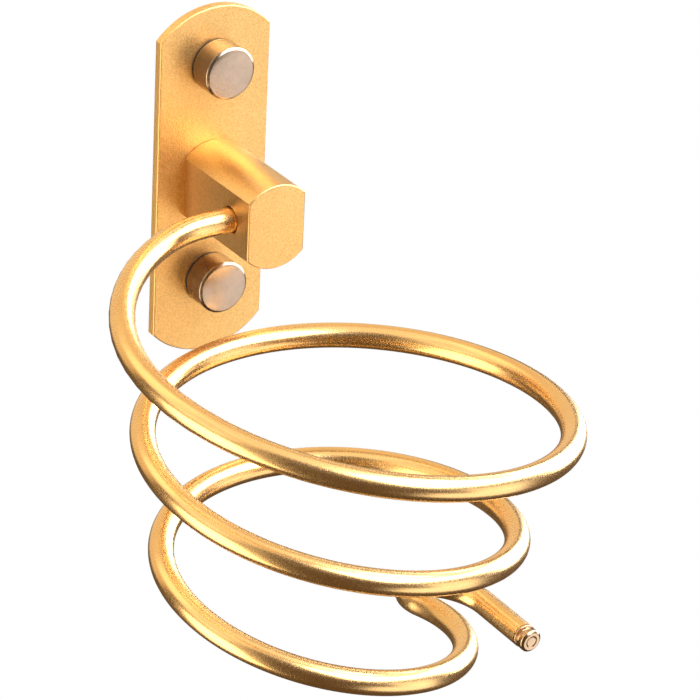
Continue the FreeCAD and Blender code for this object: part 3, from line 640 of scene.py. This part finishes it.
def moulded_stuff(name, colour, roughness, grain_size, grain_depth):
    """Moulded rubber or nylon with a fine matt grain."""
    material = bpy.data.materials.new(name)
    material.use_nodes = True
    nodes, links = material.node_tree.nodes, material.node_tree.links
    nodes.clear()
    output = nodes.new("ShaderNodeOutputMaterial")
    output.label = "Surface out"
    skin = nodes.new("ShaderNodeBsdfPrincipled")
    skin.label = "Moulded skin"
    place = nodes.new("ShaderNodeTexCoord")
    place.label = "Where on the piece"
    grain_frame = nodes.new("NodeFrame")
    grain_frame.label = "Matt grain"
    grain = nodes.new("ShaderNodeTexNoise")
    grain.label = "Mould grain"
    grain.inputs["Scale"].default_value = 1.0 / grain_size
    grain.inputs["Detail"].default_value = 4.0
    hue = nodes.new("ShaderNodeValToRGB")
    hue.label = "Dusty highs"
    hue.color_ramp.elements[0].color = (*[c * 0.8 for c in colour], 1.0)
    hue.color_ramp.elements[1].color = (*[min(1.0, c * 1.2) for c in colour], 1.0)
    gloss = nodes.new("ShaderNodeMapRange")
    gloss.label = "Grain to roughness"
    gloss.inputs["To Min"].default_value = roughness - 0.1
    gloss.inputs["To Max"].default_value = roughness + 0.1
    relief = nodes.new("ShaderNodeBump")
    relief.label = "Grain depth"
    relief.inputs["Strength"].default_value = 0.5
    relief.inputs["Distance"].default_value = grain_depth
    for node in (grain, hue, gloss, relief):
        node.parent = grain_frame
    for node, spot in ((place, (-800, 0)), (grain, (-600, 0)), (hue, (-380, 200)),
                       (gloss, (-380, -40)), (relief, (-380, -300)), (skin, (0, 0)),
                       (output, (300, 0))):
        node.location = spot
    links.new(place.outputs["Object"], grain.inputs["Vector"])
    links.new(grain.outputs["Fac"], hue.inputs["Fac"])
    links.new(hue.outputs["Color"], skin.inputs["Base Color"])
    links.new(grain.outputs["Fac"], gloss.inputs["Value"])
    links.new(gloss.outputs["Result"], skin.inputs["Roughness"])
    links.new(grain.outputs["Fac"], relief.inputs["Height"])
    links.new(relief.outputs["Normal"], skin.inputs["Normal"])
    links.new(skin.outputs["BSDF"], output.inputs["Surface"])
    return material


def facing_out(foot, height):
    """The place of a turned shape that stands with its Z axis pointing away from the wall."""
    return Matrix.Translation((0.0, foot, height)) @ Matrix.Rotation(math.radians(90), 4, "X")


PLUG_BORE = 0.00205
RIB_COUNT = 5
RIB_HEIGHT = 0.0004
RIB_PITCH = 0.0017
SLIT_START = 0.003
SLIT_HALF_WIDTH = 0.0003
SLIT_HALF_SPAN = 0.004
plug_nylon = moulded_stuff("plug_nylon", (0.34, 0.35, 0.34), roughness=0.5,
                           grain_size=0.0004, grain_depth=0.00002)
for end, height in cap_heights.items():
    plug_low, plug_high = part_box("wall_plug_" + end)
    plug_rim = plug_high.z - height
    plug_core = plug_rim - RIB_HEIGHT
    plug_length = plug_high.y - plug_low.y
    collar = [(PLUG_BORE, plug_length), (plug_rim, plug_length),
              (plug_rim, plug_length - 0.0009), (plug_core, plug_length - 0.0011)]
    ribs = []
    for rib in range(RIB_COUNT):
        crest = plug_length - 0.0018 - RIB_PITCH * rib
        ribs += [(plug_core, crest), (plug_rim, crest - 0.0003), (plug_core, crest - 0.0014)]
    nose = [(plug_core, 0.0012), (plug_rim - 0.0007, 0.0), (PLUG_BORE, 0.0),
            (PLUG_BORE, plug_length)]
    plug = turned_piece("ribbed_plug_" + end, collar + ribs + nose,
                        facing_out(plug_high.y, height), steps=64)
    for wide, tall in ((SLIT_HALF_WIDTH, SLIT_HALF_SPAN), (SLIT_HALF_SPAN, SLIT_HALF_WIDTH)):
        slit = [(-wide, height - tall), (wide, height - tall),
                (wide, height + tall), (-wide, height + tall)]
        cut_away(plug, flat_bar("slit_cutter", [slit], plug_low.y + SLIT_START,
                                plug_high.y + CLEAR, edge=0.0, edge_steps=0))
    fit_piece(plug, plug_nylon, "plug_nylon", "wall_mount", "wall_plug_" + end)

# ---- cap seats and wall screws -----------------------------------------------------------
# A turned steel boss with an outside thread stands in each wall hole of the plate, and a
# countersunk screw with a crossed slot holds it down and runs into the plug.


def thread_ridge(name, radius, ridge, pitch, turns, start, middle):
    """The ridge of a thread about -Y, wound on a turned core."""
    curve = bpy.data.curves.new(name, "CURVE")
    curve.dimensions = "3D"
    curve.resolution_u = curve.render_resolution_u = 3
    curve.bevel_depth = ridge
    curve.bevel_resolution = 1
    curve.use_fill_caps = True
    helix = curve.splines.new("NURBS")
    points_per_turn = 16
    helix.points.add(turns * points_per_turn)
    for n, point in enumerate(helix.points):
        angle = math.tau * n / points_per_turn
        point.co = (radius * math.cos(angle), start - pitch * n / points_per_turn,
                    middle + radius * math.sin(angle), 1.0)
    helix.order_u = 4
    helix.use_endpoint_u = True
    return settled_mesh(name, curve, Matrix.Identity(4))


CORE_DEPTH = 0.0003
SPIGOT_RADIUS = 0.0032
SHOULDER = 0.0024
SCREW_BORE = 0.0022
THREAD_PITCH = 0.001
for end, height in cap_heights.items():
    seat_low, seat_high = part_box("cap_seat_" + end)
    screw_low, screw_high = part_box("wall_screw_" + end)
    seat_rim = seat_high.z - height
    seat_core = seat_rim - CORE_DEPTH
    seat_top = seat_high.y - seat_low.y
    sink = screw_high.z - height + 0.0001
    sink_top = seat_high.y - screw_low.y - 0.00015
    boss = [(sink, seat_top), (seat_rim - 0.0007, seat_top), (seat_core, seat_top - 0.0004),
            (seat_core, 0.0030), (seat_rim, 0.0028), (seat_rim, SHOULDER)]
    spigot = [(SPIGOT_RADIUS, SHOULDER), (SPIGOT_RADIUS, 0.0), (SCREW_BORE, 0.0)]
    countersink = [(SCREW_BORE, sink_top - (sink - SCREW_BORE)), (sink, sink_top),
                   (sink, seat_top)]
    seat = turned_piece("threaded_seat_" + end, boss + spigot + countersink,
                        facing_out(seat_high.y, height), edge=0.00006)
    thread = thread_ridge("seat_thread_" + end, radius=seat_rim - 0.00028, ridge=0.00026,
                          pitch=THREAD_PITCH, turns=3, start=seat_high.y - 0.0036,
                          middle=height)
    seat_steel = turned_metal("seat_steel_" + end, tone=(0.60, 0.60, 0.61),
                              tint=(0.46, 0.46, 0.47), roughness=0.30,
                              centre=Vector((0.0, seat_high.y, height)),
                              axis=Vector((0, -1, 0)), ring_gap=TOOL_MARK_GAP)
    fit_piece(seat, seat_steel, "seat_steel", "wall_mount", "cap_seat_" + end)
    fit_piece(thread, seat_steel, "seat_steel", "wall_mount")
    zinc_plate("wall_screw_" + end, Vector((0.0, screw_low.y, height)), Vector((0, -1, 0)))

# ---- cover caps and washers --------------------------------------------------------------
# Each cap is a turned cup with a bright chamfered rim and a slightly domed face. It screws
# onto its threaded seat and pinches a black rubber ring at its foot.

CAP_BORE = 0.00505
GROOVE_COUNT = 4
GROOVE_FLOOR = 0.0053
CAP_HOLLOW = 0.0051
CAP_CHAMFER = 0.00055
FACE_DOME = 0.0003
RING_BORE = 0.00515
washer_rubber = moulded_stuff("washer_rubber", (0.02, 0.02, 0.02), roughness=0.6,
                              grain_size=0.0002, grain_depth=0.00001)
for end, height in cap_heights.items():
    cap_low, cap_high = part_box("screw_cap_" + end)
    rim = cap_high.z - height
    tall = cap_high.y - cap_low.y - FACE_DOME
    face = [(rim * part, tall + FACE_DOME * lift)
            for part, lift in ((0.0, 1.0), (0.25, 0.92), (0.5, 0.7), (0.75, 0.32))]
    wall = [(rim - CAP_CHAMFER, tall), (rim, tall - CAP_CHAMFER), (rim, 0.0005),
            (rim - 0.0003, 0.0), (GROOVE_FLOOR, 0.0), (CAP_BORE, 0.0003)]
    grooves = []
    for groove in range(GROOVE_COUNT):
        mouth = 0.0006 + THREAD_PITCH * groove
        grooves += [(CAP_BORE, mouth), (GROOVE_FLOOR, mouth + 0.0004),
                    (CAP_BORE, mouth + 0.0008)]
    roof = [(CAP_BORE, CAP_HOLLOW), (0.0, CAP_HOLLOW)]
    cap = turned_piece("cover_cap_" + end, face + wall + grooves + roof,
                       facing_out(cap_high.y, height), edge=0.00010)
    cap_alloy = turned_metal("cap_champagne_" + end, tone=(0.45, 0.34, 0.26),
                             tint=(0.37, 0.275, 0.205), roughness=0.26,
                             centre=Vector((0.0, cap_high.y, height)),
                             axis=Vector((0, -1, 0)), ring_gap=0.00025)
    fit_piece(cap, cap_alloy, "cap_champagne", "cap_" + end, "screw_cap_" + end)

    ring_low, ring_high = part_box("cap_washer_" + end)
    ring_top = ring_high.y - ring_low.y
    ring_rim = ring_high.z - height
    ring = turned_piece("cap_ring_" + end, [
        (RING_BORE, ring_top), (ring_rim - 0.0001, ring_top), (ring_rim, ring_top / 2),
        (ring_rim - 0.0001, 0.0), (RING_BORE, 0.0), (RING_BORE, ring_top)],
        facing_out(ring_high.y, height))
    fit_piece(ring, washer_rubber, "washer_rubber", "washer_" + end, "cap_washer_" + end)
